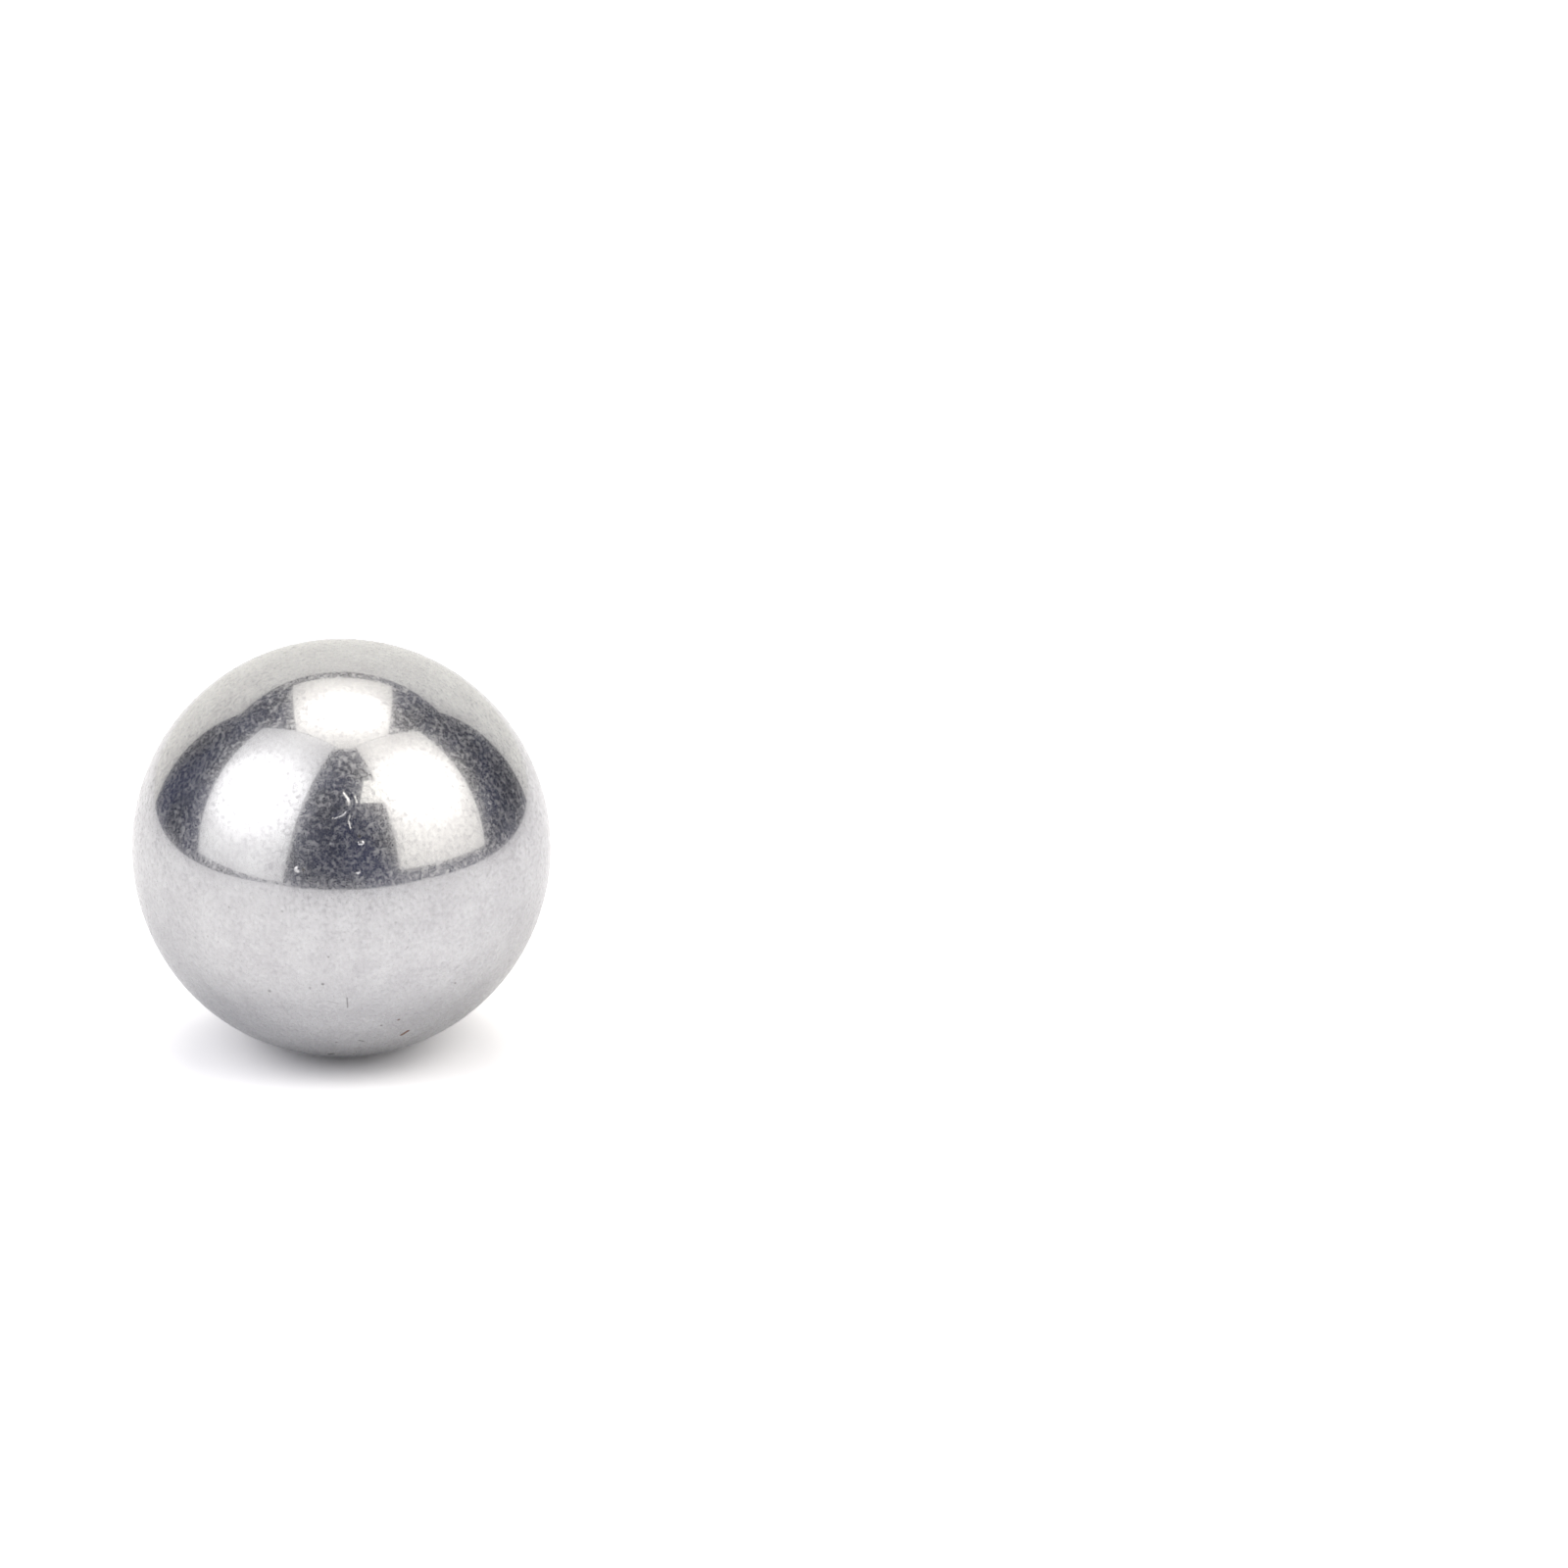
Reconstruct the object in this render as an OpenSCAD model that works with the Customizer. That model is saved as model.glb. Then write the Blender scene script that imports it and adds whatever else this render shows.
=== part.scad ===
// A steel ball: one solid sphere, ground and lapped all over.
// Its centre is the origin, with +Z up, and nothing is cut into it.

/* [Ball] */
// Diameter across the lapped surface
ball_d = 16; // [4:0.5:30]

/* [Hidden] */
// Facets round the sphere when it is drawn as a mesh
ball_facets = 180;

// The lapped ball, which reaches half a diameter from the origin every way
module ball() {
    color("silver")
        sphere(d = ball_d, $fn = ball_facets);
}

ball();
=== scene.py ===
"""A polished steel ball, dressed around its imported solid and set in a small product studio.

Everything is in metres in the ball's own frame: +Z is up and the ball's centre is the origin.
Azimuths are degrees from +Y towards +X, and elevations are degrees above the horizon.
"""

import logging
import math
import random
from dataclasses import dataclass, field

import bmesh
import bpy
from mathutils import Matrix, Vector
from mathutils.geometry import intersect_point_line
from mathutils.kdtree import KDTree

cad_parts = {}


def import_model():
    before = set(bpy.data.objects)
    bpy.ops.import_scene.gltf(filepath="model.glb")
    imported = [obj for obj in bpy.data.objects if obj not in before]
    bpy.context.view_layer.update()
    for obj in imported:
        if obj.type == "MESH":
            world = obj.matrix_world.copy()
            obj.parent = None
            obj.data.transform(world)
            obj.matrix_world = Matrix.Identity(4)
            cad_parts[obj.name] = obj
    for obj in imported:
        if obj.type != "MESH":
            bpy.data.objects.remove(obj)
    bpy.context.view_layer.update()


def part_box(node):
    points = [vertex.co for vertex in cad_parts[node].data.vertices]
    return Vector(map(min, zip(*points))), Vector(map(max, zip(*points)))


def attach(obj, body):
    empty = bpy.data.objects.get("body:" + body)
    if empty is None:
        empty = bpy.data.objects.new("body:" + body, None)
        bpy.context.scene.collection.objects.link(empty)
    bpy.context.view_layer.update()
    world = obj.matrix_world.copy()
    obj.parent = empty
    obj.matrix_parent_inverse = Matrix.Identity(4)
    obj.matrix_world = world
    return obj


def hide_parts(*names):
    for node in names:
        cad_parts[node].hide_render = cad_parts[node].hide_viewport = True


MM = 0.001
IMAGE_SIDE_PX = 1600

Colour = tuple[float, float, float, float]

GRIME_ATTRIBUTE = "grime"
RUST_ATTRIBUTE = "rust"

# The sockets in which a Mix node set to RGBA takes its two colours and gives the blended one.
MIX_BELOW, MIX_ABOVE, MIX_BLENDED = "6", "7", 2

log = logging.getLogger("steel_ball")


# ---------------------------------------------------------------------------
# Small helpers
# ---------------------------------------------------------------------------


def linear(hex_colour: str, gain: float = 1.0) -> Colour:
    """Turns an sRGB hex colour into linear light.

    Args:
        hex_colour: six hex digits after a hash, such as "#d4d4d6".
        gain: how many times brighter the linear colour is made.

    Returns:
        Linear red, green and blue, and an alpha of 1.
    """
    toe_end, toe_slope, offset, power = 0.04045, 12.92, 0.055, 2.4
    channels = [int(hex_colour[start : start + 2], 16) / 255 for start in (1, 3, 5)]
    red, green, blue = (
        value / toe_slope if value <= toe_end else ((value + offset) / (1 + offset)) ** power
        for value in channels
    )
    return (gain * red, gain * green, gain * blue, 1.0)


def direction(azimuth: float, elevation: float) -> Vector:
    """Gives the unit vector that points to an azimuth and an elevation.

    Args:
        azimuth: degrees from +Y towards +X.
        elevation: degrees above the horizon.

    Returns:
        The unit vector.
    """
    turn, rise = math.radians(azimuth), math.radians(elevation)
    level = math.cos(rise)
    return Vector((math.sin(turn) * level, math.cos(turn) * level, math.sin(rise)))


def add_node(
    tree: bpy.types.NodeTree,
    kind: str,
    settings: dict[str, object] | None = None,
    links: dict[str, bpy.types.NodeSocket] | None = None,
) -> bpy.types.Node:
    """Adds one node with its settings and links.

    Args:
        tree: the node tree that takes the node.
        kind: the node's Blender type name.
        settings: property names or input socket names, with their values.
        links: input socket names, or their numbers as text, with the output that feeds each.

    Returns:
        The new node.
    """
    node = tree.nodes.new(kind)

    def socket(name: str) -> bpy.types.NodeSocket:
        """Finds one of the node's inputs by its name or its number."""
        return node.inputs[int(name)] if name.isdigit() else node.inputs[name]

    for name, value in (settings or {}).items():
        if hasattr(node, name):
            setattr(node, name, value)
        else:
            socket(name).default_value = value
    for name, output in (links or {}).items():
        tree.links.new(output, socket(name))
    return node


def first_looks(
    tree: bpy.types.NodeTree,
) -> tuple[bpy.types.NodeSocket, bpy.types.NodeSocket]:
    """Tells the rays that look at a surface from those that only carry its light on.

    Args:
        tree: the node tree to add to.

    Returns:
        Two values that are 1 or 0: one for camera rays, and one for glossy and
        transmission rays that have met no matt surface yet.
    """
    # A ray counts the matt surfaces that it has met, so below a half it has met none.
    none_met = 0.5
    path = add_node(tree, "ShaderNodeLightPath")
    mirrored = add_node(
        tree,
        "ShaderNodeMath",
        {"operation": "MAXIMUM"},
        {"0": path.outputs["Is Glossy Ray"], "1": path.outputs["Is Transmission Ray"]},
    )
    unspread = add_node(
        tree,
        "ShaderNodeMath",
        {"operation": "LESS_THAN", "1": none_met},
        {"0": path.outputs["Diffuse Depth"]},
    )
    metal = add_node(
        tree,
        "ShaderNodeMath",
        {"operation": "MULTIPLY"},
        {"0": mirrored.outputs[0], "1": unspread.outputs[0]},
    )
    return path.outputs["Is Camera Ray"], metal.outputs[0]


def empty_material(name: str) -> tuple[bpy.types.Material, bpy.types.NodeTree]:
    """Makes a node material with no nodes in it.

    Args:
        name: the material's name.

    Returns:
        The material and its empty node tree.
    """
    material = bpy.data.materials.new(name)
    material.use_nodes = True
    material.node_tree.nodes.clear()
    return material, material.node_tree


def mesh_object(name: str, bm: bmesh.types.BMesh, smooth: bool) -> bpy.types.Object:
    """Turns a bmesh into an object in the scene and frees the bmesh.

    Args:
        name: the object's name.
        bm: the finished bmesh.
        smooth: whether its faces are shaded smooth.

    Returns:
        The new object, at the origin and unturned.
    """
    mesh = bpy.data.meshes.new(name)
    for face in bm.faces:
        face.smooth = smooth
    bm.to_mesh(mesh)
    bm.free()
    made = bpy.data.objects.new(name, mesh)
    bpy.context.scene.collection.objects.link(made)
    return made


# ---------------------------------------------------------------------------
# Finishes
# ---------------------------------------------------------------------------


@dataclass(frozen=True)
class LappedSteel:
    """Through-hardened bearing steel, ground and lapped, then handled.

    It gives the eye a clear mirror with a fine sandy haze in it: some of the light stays sharp,
    the rest goes into a soft lobe, and small specks scatter it wider. Dents may hold grime or
    rust, and the steel is a little mottled.
    """

    bright_colour: str = "#c8c8ca"
    dull_colour: str = "#bab9bc"
    grime_colour: str = "#3d3936"
    rust_colour: str = "#7a5138"
    mirror_roughness: float = 0.05
    haze_roughness: float = 0.27
    speck_roughness: float = 0.42
    grime_roughness: float = 0.35
    # Lapping grit leaves marks of a few hundredths of a millimetre, finer than a pixel here.
    lapping_mm: float = 0.02
    # Wear leaves specks of about 0.2 mm, and patches of about 1 mm that are a little duller.
    grain_mm: float = 0.17
    mottle_mm: float = 1.1
    # A pattern sets in between two levels of its noise. Specks and patches first have a share
    # of the next finer noise added to theirs, which frays their edges.
    haze_from: float = 0.43
    haze_to: float = 0.51
    lapping_in_specks: float = 0.5
    speck_from: float = 0.75
    speck_to: float = 0.93
    grain_in_mottling: float = 0.8
    mottle_from: float = 0.65
    mottle_to: float = 1.15
    # The steel's own pin pits are a few hundredths of a millimetre wide and hold a little dirt.
    pit_spacing_mm: float = 1.3
    pit_mm: float = 0.05
    pit_floor_share: float = 0.4
    pit_grime: float = 0.35

    def material(self) -> bpy.types.Material:
        """Builds the node material, from the ball's own coordinates and its wear attributes.

        Returns:
            The material.
        """
        material, tree = empty_material("lapped_steel")
        place = add_node(tree, "ShaderNodeTexCoord").outputs["Object"]
        grain = add_node(
            tree,
            "ShaderNodeTexNoise",
            {"Scale": 1 / (self.grain_mm * MM), "Detail": 2.0, "Roughness": 0.5},
            {"Vector": place},
        ).outputs[0]
        grime = self.grime(tree, place)
        shader = add_node(
            tree,
            "ShaderNodeBsdfPrincipled",
            {"Metallic": 1.0},
            {
                "Base Color": self.tone(tree, place, grain, grime),
                "Roughness": self.haze(tree, place, grain, grime),
            },
        )
        add_node(tree, "ShaderNodeOutputMaterial", {}, {"Surface": shader.outputs[0]})
        return material

    def grime(
        self, tree: bpy.types.NodeTree, place: bpy.types.NodeSocket
    ) -> bpy.types.NodeSocket:
        """Adds up the dirt held in the pressed dents and in the steel's own pin pits.

        Args:
            tree: the node tree to add to.
            place: the place on the ball.

        Returns:
            How soiled the place is, from 0 to 1.
        """
        pits = add_node(
            tree,
            "ShaderNodeTexVoronoi",
            {"Scale": 1 / (self.pit_spacing_mm * MM)},
            {"Vector": place},
        )
        pit_reach = self.pit_mm / self.pit_spacing_mm
        pin = add_node(
            tree,
            "ShaderNodeMapRange",
            {
                "From Min": self.pit_floor_share * pit_reach,
                "From Max": pit_reach,
                "To Min": self.pit_grime,
                "To Max": 0.0,
            },
            {"Value": pits.outputs["Distance"]},
        )
        held = add_node(tree, "ShaderNodeAttribute", {"attribute_name": GRIME_ATTRIBUTE})
        return add_node(
            tree,
            "ShaderNodeMath",
            {"operation": "MAXIMUM"},
            {"0": pin.outputs[0], "1": held.outputs["Fac"]},
        ).outputs[0]

    def tone(
        self,
        tree: bpy.types.NodeTree,
        place: bpy.types.NodeSocket,
        grain: bpy.types.NodeSocket,
        grime: bpy.types.NodeSocket,
    ) -> bpy.types.NodeSocket:
        """Mottles the steel, then lays grime and rust over it.

        Args:
            tree: the node tree to add to.
            place: the place on the ball.
            grain: the noise of the specks.
            grime: how soiled the place is.

        Returns:
            The colour that the metal mirrors in.
        """
        mottle = add_node(
            tree,
            "ShaderNodeTexNoise",
            {"Scale": 1 / (self.mottle_mm * MM), "Detail": 4.0, "Roughness": 0.6},
            {"Vector": place},
        )
        both = add_node(
            tree,
            "ShaderNodeMath",
            {"operation": "MULTIPLY_ADD", "1": self.grain_in_mottling},
            {"0": grain, "2": mottle.outputs[0]},
        )
        patchy = add_node(
            tree,
            "ShaderNodeMapRange",
            {"From Min": self.mottle_from, "From Max": self.mottle_to},
            {"Value": both.outputs[0]},
        )
        steel = add_node(
            tree,
            "ShaderNodeMix",
            {
                "data_type": "RGBA",
                MIX_BELOW: linear(self.bright_colour),
                MIX_ABOVE: linear(self.dull_colour),
            },
            {"Factor": patchy.outputs[0]},
        )
        soiled = add_node(
            tree,
            "ShaderNodeMix",
            {"data_type": "RGBA", MIX_ABOVE: linear(self.grime_colour)},
            {"Factor": grime, MIX_BELOW: steel.outputs[MIX_BLENDED]},
        )
        rust = add_node(tree, "ShaderNodeAttribute", {"attribute_name": RUST_ATTRIBUTE})
        rusted = add_node(
            tree,
            "ShaderNodeMix",
            {"data_type": "RGBA", MIX_ABOVE: linear(self.rust_colour)},
            {"Factor": rust.outputs["Fac"], MIX_BELOW: soiled.outputs[MIX_BLENDED]},
        )
        return rusted.outputs[MIX_BLENDED]

    def haze(
        self,
        tree: bpy.types.NodeTree,
        place: bpy.types.NodeSocket,
        grain: bpy.types.NodeSocket,
        grime: bpy.types.NodeSocket,
    ) -> bpy.types.NodeSocket:
        """Mixes sharp and hazy steel finer than the eye sees, with wider specks in it.

        Args:
            tree: the node tree to add to.
            place: the place on the ball.
            grain: the noise of the specks.
            grime: how soiled the place is.

        Returns:
            The roughness.
        """
        lapping = add_node(
            tree,
            "ShaderNodeTexNoise",
            {"Scale": 1 / (self.lapping_mm * MM), "Detail": 0.0},
            {"Vector": place},
        ).outputs[0]
        lapped = add_node(
            tree,
            "ShaderNodeMapRange",
            {
                "From Min": self.haze_from,
                "From Max": self.haze_to,
                "To Min": self.mirror_roughness,
                "To Max": self.haze_roughness,
            },
            {"Value": lapping},
        )
        ragged = add_node(
            tree,
            "ShaderNodeMath",
            {"operation": "MULTIPLY_ADD", "1": self.lapping_in_specks},
            {"0": lapping, "2": grain},
        )
        specked = add_node(
            tree,
            "ShaderNodeMapRange",
            {
                "interpolation_type": "SMOOTHSTEP",
                "From Min": self.speck_from,
                "From Max": self.speck_to,
                "To Max": self.speck_roughness,
            },
            {"Value": ragged.outputs[0], "To Min": lapped.outputs[0]},
        )
        return add_node(
            tree,
            "ShaderNodeMath",
            {"operation": "MULTIPLY_ADD", "1": self.grime_roughness, "use_clamp": True},
            {"0": grime, "2": specked.outputs[0]},
        ).outputs[0]


@dataclass(frozen=True)
class MattePaper:
    """Uncoated paper or card: even, with no shine, and exposed to a clean white.

    Its colour is multiplied by a gain for each kind of ray: it carries half of its light on to
    other surfaces, metal mirrors it about as bright as it is lit, and the lens sees it white.
    """

    name: str
    colour: str = "#fafafd"
    carried: float = 0.5
    mirrored: float = 1.12
    shown: float = 1.71

    def material(self) -> bpy.types.Material:
        """Builds the node material.

        Returns:
            The material.
        """
        material, tree = empty_material(self.name)
        lit, seen, white = (
            add_node(tree, "ShaderNodeBsdfDiffuse", {"Color": linear(self.colour, gain)})
            for gain in (self.carried, self.mirrored, self.shown)
        )
        lens, metal = first_looks(tree)
        reflected = add_node(
            tree,
            "ShaderNodeMixShader",
            {},
            {"0": metal, "1": lit.outputs[0], "2": seen.outputs[0]},
        )
        both = add_node(
            tree,
            "ShaderNodeMixShader",
            {},
            {"0": lens, "1": reflected.outputs[0], "2": white.outputs[0]},
        )
        add_node(tree, "ShaderNodeOutputMaterial", {}, {"Surface": both.outputs[0]})
        return material


@dataclass(frozen=True)
class Glow:
    """A surface that shows one even brightness, such as a lit card or cloth in the dark."""

    name: str
    colour: str
    level: float = 1.0

    def material(self) -> bpy.types.Material:
        """Builds the node material.

        Returns:
            The material.
        """
        material, tree = empty_material(self.name)
        shader = add_node(
            tree,
            "ShaderNodeEmission",
            {"Color": linear(self.colour), "Strength": self.level},
        )
        add_node(tree, "ShaderNodeOutputMaterial", {}, {"Surface": shader.outputs[0]})
        material.cycles.emission_sampling = "NONE"
        return material


@dataclass(frozen=True)
class DarkDrapes:
    """Woven black and blue-grey drapes, lit by what spills past the soft boxes.

    They give the eye the dark gaps between the boxes in the steel, uneven where they fold.
    """

    dark_colour: str = "#373946"
    blue_colour: str = "#434763"
    fold_mm: float = 900.0
    fold_from: float = 0.38
    fold_to: float = 0.62

    def material(self) -> bpy.types.Material:
        """Builds the node material.

        Returns:
            The material.
        """
        material, tree = empty_material("dark_drapes")
        place = add_node(tree, "ShaderNodeTexCoord").outputs["Object"]
        folds = add_node(
            tree,
            "ShaderNodeTexNoise",
            {"Scale": 1 / (self.fold_mm * MM), "Detail": 3.0},
            {"Vector": place},
        )
        depth = add_node(
            tree,
            "ShaderNodeMapRange",
            {"From Min": self.fold_from, "From Max": self.fold_to},
            {"Value": folds.outputs[0]},
        )
        cloth = add_node(
            tree,
            "ShaderNodeMix",
            {
                "data_type": "RGBA",
                MIX_BELOW: linear(self.dark_colour),
                MIX_ABOVE: linear(self.blue_colour),
            },
            {"Factor": depth.outputs[0]},
        )
        shader = add_node(tree, "ShaderNodeEmission", {}, {"Color": cloth.outputs[MIX_BLENDED]})
        add_node(tree, "ShaderNodeOutputMaterial", {}, {"Surface": shader.outputs[0]})
        material.cycles.emission_sampling = "NONE"
        return material


# ---------------------------------------------------------------------------
# The ball
# ---------------------------------------------------------------------------


@dataclass(frozen=True)
class Mark:
    """A dent or a scratch pressed in along a short path on the surface, or a burr raised on it.

    Its path is a list of azimuths and elevations, and one point alone makes a round mark. The
    metal that a dent pushes aside stands round it as a low lip, which takes a share of the
    dent's depth and reaches a number of half widths out. A burr has a depth below 0 and no lip.
    """

    path: tuple[tuple[float, float], ...]
    width_mm: float
    depth_mm: float
    grime: float = 0.0
    rust: float = 0.0
    lip_share: float = 0.15
    lip_reach: float = 1.8

    def points(self, radius: float) -> list[Vector]:
        """Gives the path's points on a sphere of a radius."""
        return [direction(azimuth, elevation) * radius for azimuth, elevation in self.path]

    def half_widths_away(self, place: Vector, points: list[Vector]) -> float:
        """Measures how far a place lies from the path.

        Args:
            place: the place on the sphere.
            points: the path's points on the sphere.

        Returns:
            The distance, in half widths of the mark.
        """
        nearest = min((place - point).length for point in points)
        for start, end in zip(points, points[1:]):
            foot, share = intersect_point_line(place, start, end)
            if 0.0 < share < 1.0:
                nearest = min(nearest, (place - foot).length)
        return nearest / (self.width_mm * MM / 2)

    def height(self, away: float) -> float:
        """Gives the mark's profile: a round-bottomed dent, then its lip.

        Args:
            away: the distance from the path, in half widths.

        Returns:
            The surface's height over the sphere, in metres.
        """
        depth = self.depth_mm * MM
        if away < 1.0:
            return -depth * (1.0 - away**2) ** 2
        if away < self.lip_reach:
            across = (away - 1.0) / (self.lip_reach - 1.0)
            return self.lip_share * depth * math.sin(math.pi * across) ** 2
        return 0.0


def handling_marks() -> list[Mark]:
    """Lists the larger marks on the side that faces the lens, from the top down.

    Returns:
        The marks.
    """
    hook = ((178.4, 35.6), (177.2, 34.2), (176.8, 32.9), (177.3, 31.7), (178.4, 30.9))
    sweep = ((178.6, 30.8), (179.4, 30.0), (180.6, 29.4), (182.2, 28.9))
    curl = ((175.6, 30.6), (176.8, 29.4), (177.3, 27.9), (176.9, 26.2))
    return [
        Mark(((-53.8, 74.2),), 0.10, 0.006, grime=0.5),
        Mark(((-106.8, 71.2),), 0.10, 0.005, grime=0.4),
        # A long scratch that hooks back on itself, in three strokes.
        Mark(hook, 0.25, 0.0165),
        Mark(sweep, 0.20, 0.019),
        Mark(curl, 0.18, 0.014),
        # Burrs, two of them with a darkened spot beside them.
        Mark(((174.7, 21.8), (174.0, 21.8)), 0.20, -0.026, lip_share=0.0),
        Mark(((174.6, 23.6),), 0.18, 0.006, grime=0.95),
        Mark(((182.8, 21.6),), 0.20, -0.014, lip_share=0.0),
        Mark(((192.4, 14.4),), 0.26, -0.028, lip_share=0.0),
        Mark(((190.7, 14.4),), 0.18, 0.006, grime=0.9),
        Mark(((175.4, 14.1),), 0.24, -0.018, lip_share=0.0),
        # Round pits and short nicks, some with grime or rust in them.
        Mark(((196.4, 2.4),), 0.12, 0.006, grime=0.4),
        Mark(((212.3, 1.3),), 0.12, 0.006, grime=0.4),
        Mark(((165.3, -0.9),), 0.12, 0.006, grime=0.3),
        Mark(((161.8, -8.8),), 0.12, 0.006, grime=0.3),
        Mark(((183.8, -10.5),), 0.11, 0.006, grime=0.5),
        Mark(((185.7, -19.7),), 0.15, 0.008, grime=0.6),
        Mark(((189.5, -21.2),), 0.11, 0.006, grime=0.5),
        Mark(((202.3, -23.9),), 0.20, 0.013, grime=0.4),
        Mark(((199.2, -23.7),), 0.15, 0.010),
        Mark(((144.1, -24.4),), 0.13, 0.007, grime=0.5),
        Mark(((178.7, -24.7), (178.5, -28.6)), 0.08, 0.006, grime=0.5),
        Mark(((181.5, -27.0), (184.5, -26.0)), 0.06, 0.003, grime=0.3),
        Mark(((160.9, -35.9),), 0.15, 0.008, grime=0.5, rust=0.5),
        Mark(((166.6, -37.9),), 0.14, 0.008, grime=0.6),
        Mark(((229.8, -41.2),), 0.14, 0.010),
        Mark(((156.7, -45.2), (155.0, -43.2)), 0.19, 0.014, grime=0.5, rust=0.9),
        Mark(((173.7, -46.0), (171.9, -46.6)), 0.12, 0.007, grime=0.6),
        Mark(((182.7, -47.0),), 0.14, 0.008, grime=0.6),
        Mark(((187.6, -59.4), (185.3, -58.3)), 0.20, 0.016, grime=0.9),
    ]


def scattered_marks(count: int = 40, seed: int = 7) -> list[Mark]:
    """Scatters round pits and fine scratches, like those of the seen side, over the far side.

    Args:
        count: how many marks.
        seed: the seed of their places and sizes.

    Returns:
        The marks.
    """
    # The marks lie within this turn of the way that faces away from the lens, and off the poles.
    half_turn, highest_sine = 105, 0.85
    pit_width_mm, scratch_width_mm, depth_share = (0.08, 0.16), (0.05, 0.08), (0.05, 0.08)
    scratch_turn, scratch_rise, marks_per_scratch = 4, 3, 3
    held_grime = (0.0, 0.4, 0.6)

    chance = random.Random(seed)
    marks = []
    for number in range(count):
        azimuth = chance.uniform(-half_turn, half_turn)
        elevation = math.degrees(math.asin(chance.uniform(-highest_sine, highest_sine)))
        path = [(azimuth, elevation)]
        width = chance.uniform(*pit_width_mm)
        if number % marks_per_scratch == 0:
            end_azimuth = azimuth + chance.uniform(-scratch_turn, scratch_turn)
            end_elevation = elevation + chance.uniform(-scratch_rise, scratch_rise)
            path.append((end_azimuth, end_elevation))
            width = chance.uniform(*scratch_width_mm)
        depth = width * chance.uniform(*depth_share)
        marks.append(Mark(tuple(path), width, depth, grime=chance.choice(held_grime)))
    return marks


@dataclass
class Ball:
    """The ball itself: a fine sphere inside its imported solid's box, with its marks pressed in."""

    radius: float
    marks: list[Mark] = field(default_factory=lambda: handling_marks() + scattered_marks())
    node: str = "ball"
    body: str = "root"
    slot: str = "lapped_steel"
    subdivisions: int = 7
    # Each pass halves the mesh's edges within this distance of a mark.
    refined_mm: tuple[float, ...] = (0.22, 0.14, 0.09)

    def near(
        self, bm: bmesh.types.BMesh, tree: KDTree, mark: Mark, reach: float
    ) -> list[tuple[bmesh.types.BMVert, float]]:
        """Finds the vertices near a mark.

        Args:
            bm: the sphere's mesh, with its index table up to date.
            tree: the tree of the mesh's vertices.
            mark: the mark.
            reach: how far from the mark's edge a vertex may lie, in metres.

        Returns:
            Each vertex with its distance from the mark's path in half widths.
        """
        points = mark.points(self.radius)
        centre = sum(points, Vector()) / len(points)
        half_width = mark.width_mm * MM / 2
        search = max((point - centre).length for point in points) + half_width + reach
        found = []
        for _, index, _ in tree.find_range(centre, search):
            vert = bm.verts[index]
            away = mark.half_widths_away(vert.co, points)
            if away * half_width < half_width + reach:
                found.append((vert, away))
        return found

    @staticmethod
    def planted(bm: bmesh.types.BMesh) -> KDTree:
        """Makes a tree of the mesh's vertices, and brings its index table up to date.

        Args:
            bm: the sphere's mesh.

        Returns:
            The tree, with each vertex under its index.
        """
        bm.verts.ensure_lookup_table()
        tree = KDTree(len(bm.verts))
        for index, vert in enumerate(bm.verts):
            tree.insert(vert.co, index)
        tree.balance()
        return tree

    def refine(self, bm: bmesh.types.BMesh, reach: float) -> None:
        """Halves the edges near every mark and puts the new vertices on the sphere.

        Args:
            bm: the sphere's mesh.
            reach: how far from a mark's edge the mesh is refined, in metres.
        """
        tree = self.planted(bm)
        close = {vert for mark in self.marks for vert, _ in self.near(bm, tree, mark, reach)}
        edges = [edge for edge in bm.edges if edge.verts[0] in close and edge.verts[1] in close]
        bmesh.ops.subdivide_edges(bm, edges=edges, cuts=1)
        bmesh.ops.triangulate(bm, faces=[face for face in bm.faces if len(face.verts) > 3])
        for vert in bm.verts:
            vert.co = vert.co.normalized() * self.radius

    def press(self, bm: bmesh.types.BMesh) -> None:
        """Presses every mark into the sphere, with the grime and rust that it holds.

        Args:
            bm: the sphere's mesh, which also gains the two wear attributes.
        """
        grime = bm.verts.layers.float.new(GRIME_ATTRIBUTE)
        rust = bm.verts.layers.float.new(RUST_ATTRIBUTE)
        tree = self.planted(bm)
        heights: dict[bmesh.types.BMVert, float] = {}
        for mark in self.marks:
            lip = (mark.lip_reach - 1.0) * mark.width_mm * MM / 2
            for vert, away in self.near(bm, tree, mark, lip):
                height = mark.height(away)
                heights[vert] = min(heights.get(vert, height), height)
                held = max(0.0, 1.0 - away**2)
                vert[grime] = max(vert[grime], held * mark.grime)
                vert[rust] = max(vert[rust], held * mark.rust)
        for vert, height in heights.items():
            vert.co = vert.co.normalized() * (self.radius + height)

    def build(self, steel: bpy.types.Material) -> bpy.types.Object:
        """Makes the ball's mesh, dresses it and puts it on its body.

        Args:
            steel: the ball's finish.

        Returns:
            The dressed ball.
        """
        bm = bmesh.new()
        bmesh.ops.create_icosphere(bm, subdivisions=self.subdivisions, radius=self.radius)
        for reach_mm in self.refined_mm:
            self.refine(bm, reach_mm * MM)
        self.press(bm)
        made = mesh_object("polished_ball", bm, smooth=True)
        made.data.materials.append(steel)
        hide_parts(self.node)
        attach(made, self.body)
        return made


# ---------------------------------------------------------------------------
# The studio
# ---------------------------------------------------------------------------


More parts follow.
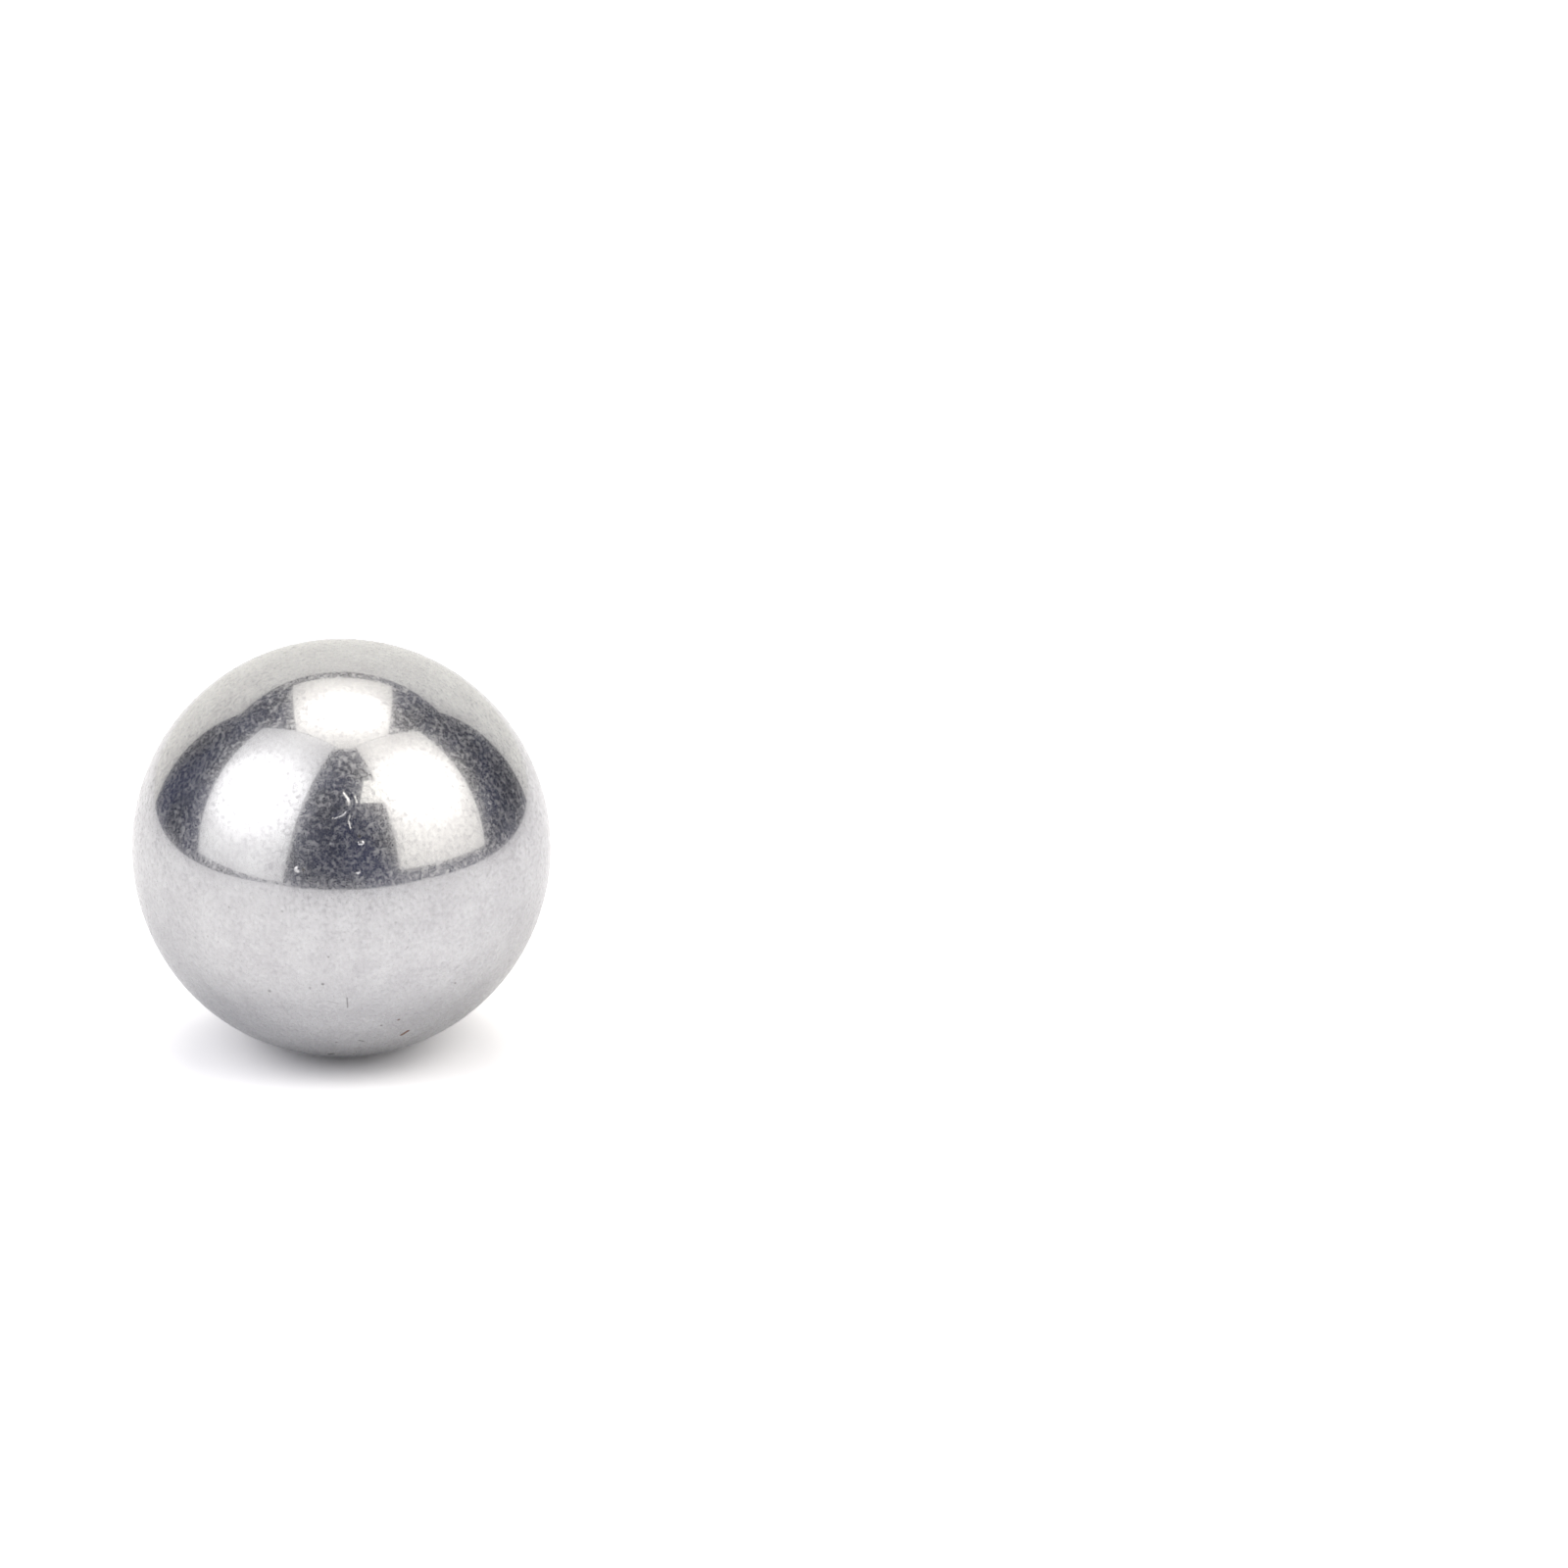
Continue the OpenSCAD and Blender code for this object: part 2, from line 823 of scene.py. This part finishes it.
@dataclass
class SoftBox:
    """A rectangular soft box: a hot core, and a field that dims a little towards the rim.

    It hangs at an azimuth, an elevation and a distance from the ball, and faces its own way. Its
    hot spot is given in shares of its width and height from one corner, and so is its fading.
    """

    name: str
    azimuth: float
    elevation: float
    faces_azimuth: float
    faces_elevation: float
    roll: float
    width: float
    height: float
    distance: float
    tint: str
    hot_spot: tuple[float, float]
    rim_level: float
    # The field and its core are at most this many times as bright as the rim.
    field_gain: float = 1.32
    hot_gain: float = 2.5
    core_reach: float = 0.33
    field_from: float = 0.1
    field_to: float = 0.5
    # The tube stands upright, so the glow falls off half as fast to its sides.
    sideways_share: float = 0.5
    # The cloth's lip runs round the light and stands a little in front of it.
    lip: float = 0.02
    lip_forward: float = 0.002

    def shell(self) -> bpy.types.Object:
        """Closes the box's back with black cloth, and sews a lip round its light, whose grey is a
        painted glow.

        Returns:
            The shell, whose lip stands a little in front of the light.
        """
        bm = bmesh.new()
        bmesh.ops.create_grid(bm, x_segments=1, y_segments=1, size=0.5)
        outer = (self.width + 2 * self.lip, self.height + 2 * self.lip, 1.0)
        bmesh.ops.scale(bm, vec=outer, verts=bm.verts)
        bmesh.ops.translate(bm, vec=(0.0, 0.0, -self.lip_forward), verts=bm.verts)
        bmesh.ops.inset_individual(bm, faces=bm.faces[:], thickness=self.lip)
        back = min(bm.faces, key=lambda face: face.calc_center_median().length)
        bmesh.ops.translate(bm, vec=(0.0, 0.0, self.lip), verts=back.verts)
        back.material_index = 1
        bmesh.ops.transform(bm, matrix=self.place(), verts=bm.verts)
        made = mesh_object(f"{self.name}_shell", bm, smooth=False)
        # The lip's grey is painted light: a glow in place of white cloth dimly lit by the box.
        made.data.materials.append(Glow("lip_painted_glow", "#8a8a8e").material())
        made.data.materials.append(Glow("black_nylon_shell", "#000000").material())
        made.visible_camera = False
        return made

    def place(self) -> Matrix:
        """Works out the box's place in the room.

        Returns:
            The place, in which the light leaves along the box's own -Z.
        """
        facing = direction(self.faces_azimuth, self.faces_elevation)
        turn, roll = math.radians(self.faces_azimuth), math.radians(self.roll)
        sideways = Vector((math.cos(turn), -math.sin(turn), 0.0))
        upright = sideways.cross(facing)
        across = math.cos(roll) * sideways + math.sin(roll) * upright
        up = math.cos(roll) * upright - math.sin(roll) * sideways
        rotation = Matrix((across, up, -facing)).transposed().to_4x4()
        centre = direction(self.azimuth, self.elevation) * self.distance
        return Matrix.Translation(centre) @ rotation

    def level(self, tree: bpy.types.NodeTree) -> bpy.types.NodeSocket:
        """Spreads the light over the box, from its hot core to its rim.

        Args:
            tree: the lamp's node tree.

        Returns:
            The brightness.
        """
        squeezed = add_node(
            tree,
            "ShaderNodeVectorMath",
            {"operation": "MULTIPLY", "1": (self.sideways_share, 1.0, 0.0)},
            {"0": add_node(tree, "ShaderNodeNewGeometry").outputs["Parametric"]},
        )
        beside, above = self.hot_spot
        away = add_node(
            tree,
            "ShaderNodeVectorMath",
            {"operation": "DISTANCE", "1": (self.sideways_share * beside, above, 0.0)},
            {"0": squeezed.outputs[0]},
        )
        faded = add_node(
            tree,
            "ShaderNodeMapRange",
            {
                "From Min": self.field_from,
                "From Max": self.field_to,
                "To Min": self.field_gain * self.rim_level,
                "To Max": self.rim_level,
            },
            {"Value": away.outputs["Value"]},
        )
        return add_node(
            tree,
            "ShaderNodeMapRange",
            {
                "interpolation_type": "SMOOTHSTEP",
                "From Max": self.core_reach,
                "To Min": self.hot_gain * self.rim_level,
            },
            {"Value": away.outputs["Value"], "To Max": faded.outputs[0]},
        ).outputs[0]

    def build(self) -> bpy.types.Object:
        """Makes the lamp and puts its light into the box's place.

        Returns:
            The lamp.
        """
        lamp = bpy.data.lights.new(self.name, "AREA")
        lamp.shape = "RECTANGLE"
        lamp.size, lamp.size_y = self.width, self.height
        # A white emitter of radiance 1 sends out pi watts for each square metre.
        lamp.energy = math.pi * self.width * self.height
        lamp.color = linear(self.tint)[:3]
        lamp.use_nodes = True
        tree = lamp.node_tree
        tree.nodes.clear()
        glow = add_node(tree, "ShaderNodeEmission", {}, {"Strength": self.level(tree)})
        add_node(tree, "ShaderNodeOutputLight", {}, {"Surface": glow.outputs[0]})
        made = bpy.data.objects.new(self.name, lamp)
        made.matrix_world = self.place()
        made.visible_camera = False
        bpy.context.scene.collection.objects.link(made)
        return made


@dataclass
class Studio:
    """White paper, a curved backdrop, three soft boxes and the dark room round them."""

    ball_radius: float
    paper_left: float = -0.16
    paper_right: float = 0.224
    paper_front: float = -0.215
    backdrop_distance: float = 0.134
    backdrop_height: float = 0.1555
    backdrop_bend_radius: float = 0.402
    backdrop_half_turn: float = 18.9
    # Only the size that a box has seen from the ball shows, so its sizes follow this distance.
    box_distance: float = 1.0
    # A small lit card, with the azimuth and the elevation of each of its corners.
    reflector_distance: float = 0.85
    reflector_corners: tuple[tuple[float, float], ...] = (
        (159.0, 56.3),
        (165.8, 44.1),
        (146.0, 41.7),
        (140.0, 53.5),
    )
    # The dark room reaches this far to each side of the ball, and this far below it.
    room_half: float = 2.4
    room_below: float = 0.6
    # How bright the white surround is to the rays that only carry light on.
    ambient: float = 0.05

    def backdrop_foot(self, steps: int = 32) -> list[Vector]:
        """Draws the line on the floor where the backdrop stands, from the left to the right.

        Args:
            steps: how many straight pieces make up the bend.

        Returns:
            The line's points.
        """
        radius = self.backdrop_bend_radius
        centre = Vector((0.0, self.backdrop_distance - radius, -self.ball_radius))
        turns = [self.backdrop_half_turn * (2 * step / steps - 1) for step in range(steps + 1)]
        return [centre + direction(turn, 0.0) * radius for turn in turns]

    def floor(self) -> bpy.types.Object:
        """Lays the white paper that the ball stands on, up to the backdrop's foot.

        Returns:
            The paper, with its face up.
        """
        bm = bmesh.new()
        level, back = -self.ball_radius, self.backdrop_distance
        outline = [
            Vector((self.paper_right, back, level)),
            Vector((self.paper_right, self.paper_front, level)),
            Vector((self.paper_left, self.paper_front, level)),
            Vector((self.paper_left, back, level)),
        ]
        corners = [bm.verts.new(place) for place in (self.backdrop_foot() + outline)]
        bmesh.ops.contextual_create(bm, geom=corners)
        bmesh.ops.recalc_face_normals(bm, faces=bm.faces)
        # One flat face has no outside, so it may still face down.
        if next(iter(bm.faces)).normal.z < 0:
            bmesh.ops.reverse_faces(bm, faces=bm.faces)
        made = mesh_object("paper_floor", bm, smooth=False)
        made.data.materials.append(MattePaper("matte_white_paper").material())
        return made

    def backdrop(self) -> bpy.types.Object:
        """Stands a curved card behind the ball, which only the metal and the light meet.

        Returns:
            The card.
        """
        bm = bmesh.new()
        feet = [bm.verts.new(place) for place in self.backdrop_foot()]
        edges = [bm.edges.new(pair) for pair in zip(feet, feet[1:])]
        raised = bmesh.ops.extrude_edge_only(bm, edges=edges)["geom"]
        tops = [part for part in raised if isinstance(part, bmesh.types.BMVert)]
        bmesh.ops.translate(bm, vec=(0.0, 0.0, self.backdrop_height), verts=tops)
        made = mesh_object("paper_backdrop", bm, smooth=True)
        card = MattePaper("warm_white_card", "#fafaf5", mirrored=1.42)
        made.data.materials.append(card.material())
        made.visible_camera = False
        return made

    def reflector(self) -> bpy.types.Object:
        """Hangs a small lit card by the right soft box's inner edge.

        Returns:
            The card.
        """
        bm = bmesh.new()
        corners = [
            bm.verts.new(direction(azimuth, elevation) * self.reflector_distance)
            for azimuth, elevation in self.reflector_corners
        ]
        bmesh.ops.contextual_create(bm, geom=corners)
        made = mesh_object("reflector_card", bm, smooth=False)
        made.data.materials.append(Glow("lit_white_card", "#fffcf3", 2.2).material())
        made.visible_camera = False
        return made

    def room(self) -> bpy.types.Object:
        """Closes the dark room round the studio, which only the metal and the light meet.

        Returns:
            The room, with its faces turned in.
        """
        bm = bmesh.new()
        bmesh.ops.create_cube(bm, size=2 * self.room_half)
        bmesh.ops.translate(bm, vec=(0, 0, self.room_half - self.room_below), verts=bm.verts)
        bmesh.ops.reverse_faces(bm, faces=bm.faces)
        made = mesh_object("dark_room", bm, smooth=False)
        made.data.materials.append(DarkDrapes().material())
        made.visible_camera = False
        return made

    def boxes(self) -> list[SoftBox]:
        """Lists the three soft boxes, each with its place and its size.

        Returns:
            The left, the right and the top box.
        """
        unit = self.box_distance
        return [
            SoftBox(
                name="left_soft_box",
                azimuth=-106.5,
                elevation=43.5,
                faces_azimuth=38.0,
                faces_elevation=-24.8,
                roll=-1.0,
                width=1.07 * unit,
                height=1.515 * unit,
                distance=unit,
                tint="#fdfcfb",
                hot_spot=(0.55, 0.44),
                rim_level=1.31,
            ),
            SoftBox(
                name="right_soft_box",
                azimuth=106.0,
                elevation=45.8,
                faces_azimuth=-39.6,
                faces_elevation=-18.3,
                roll=-2.2,
                width=0.948 * unit,
                height=1.385 * unit,
                distance=unit,
                tint="#fffcf5",
                hot_spot=(0.42, 0.46),
                rim_level=1.52,
            ),
            SoftBox(
                name="top_soft_box",
                azimuth=4.2,
                elevation=74.6,
                faces_azimuth=180.0,
                faces_elevation=-90.0,
                roll=0.0,
                width=1.078 * unit,
                height=1.49 * unit,
                distance=1.5 * unit,
                tint="#fffcf5",
                hot_spot=(0.46, 0.55),
                rim_level=1.52,
            ),
        ]

    def sky(self) -> None:
        """Makes the surround white to the lens, to metal and to glass, and dim to other rays."""
        world = bpy.data.worlds.new("white_surround")
        bpy.context.scene.world = world
        world.use_nodes = True
        tree = world.node_tree
        tree.nodes.clear()
        ambient, white = (
            add_node(tree, "ShaderNodeBackground", {"Color": (1, 1, 1, 1), "Strength": level})
            for level in (self.ambient, 1.0)
        )
        lens, metal = first_looks(tree)
        seen = add_node(tree, "ShaderNodeMath", {"operation": "ADD"}, {"0": lens, "1": metal})
        both = add_node(
            tree,
            "ShaderNodeMixShader",
            {},
            {"0": seen.outputs[0], "1": ambient.outputs[0], "2": white.outputs[0]},
        )
        add_node(tree, "ShaderNodeOutputWorld", {}, {"Surface": both.outputs[0]})

    def build(self) -> None:
        """Builds the whole studio."""
        for prop in (self.floor(), self.backdrop(), self.reflector(), self.room()):
            log.info("stage: %s", prop.name)
        for box in self.boxes():
            box.build()
            box.shell()
            log.info("lamp: %s", box.name)
        self.sky()


# ---------------------------------------------------------------------------
# The camera
# ---------------------------------------------------------------------------


@dataclass
class Camera:
    """A long lens that looks a little down on the ball, which stands left of the middle."""

    ball_radius: float
    elevation: float = 20.6
    focal_px: float = 20000.0
    # Where the ball's centre falls in the frame, and how large the ball is there.
    ball_x_px: float = 347.87
    ball_y_px: float = 864.58
    ball_radius_px: float = 213.81
    sensor_mm: float = 36.0
    clip_from: float = 0.01
    clip_to: float = 10.0

    def build(self) -> bpy.types.Object:
        """Makes the camera, turned so that the ball's centre falls on its own pixel.

        Returns:
            The camera, which is now the scene's.
        """
        data = bpy.data.cameras.new("long_lens")
        data.sensor_width = self.sensor_mm
        data.lens = self.sensor_mm * self.focal_px / IMAGE_SIDE_PX
        data.clip_start, data.clip_end = self.clip_from, self.clip_to
        middle = (IMAGE_SIDE_PX - 1) / 2
        across = (self.ball_x_px - middle) / self.focal_px
        down = (self.ball_y_px - middle) / self.focal_px
        ray = Vector((across, -down, -1.0))
        pitch = math.radians(90 - self.elevation) + math.atan(down)
        yaw = math.atan(across) / math.cos(math.radians(self.elevation))
        turn = Matrix.Rotation(yaw, 3, "Z") @ Matrix.Rotation(pitch, 3, "X")
        distance = self.ball_radius * math.hypot(1, self.focal_px / self.ball_radius_px)
        centre = -(turn @ ray.normalized()) * distance
        made = bpy.data.objects.new("long_lens", data)
        made.matrix_world = Matrix.Translation(centre) @ turn.to_4x4()
        bpy.context.scene.collection.objects.link(made)
        bpy.context.scene.camera = made
        return made


def main() -> None:
    """Loads the frame, then builds the ball, the studio and the camera."""
    logging.basicConfig(level=logging.INFO, format="%(name)s: %(message)s")
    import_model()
    bpy.context.scene.view_settings.view_transform = "Standard"

    low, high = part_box("ball")
    radius = min(high - low) / 2
    ball = Ball(radius).build(LappedSteel().material())
    log.info("%s: %d faces", ball.name, len(ball.data.polygons))
    Studio(radius).build()
    camera = Camera(radius).build()
    log.info("camera: %s", camera.name)


if __name__ == "__main__":
    main()
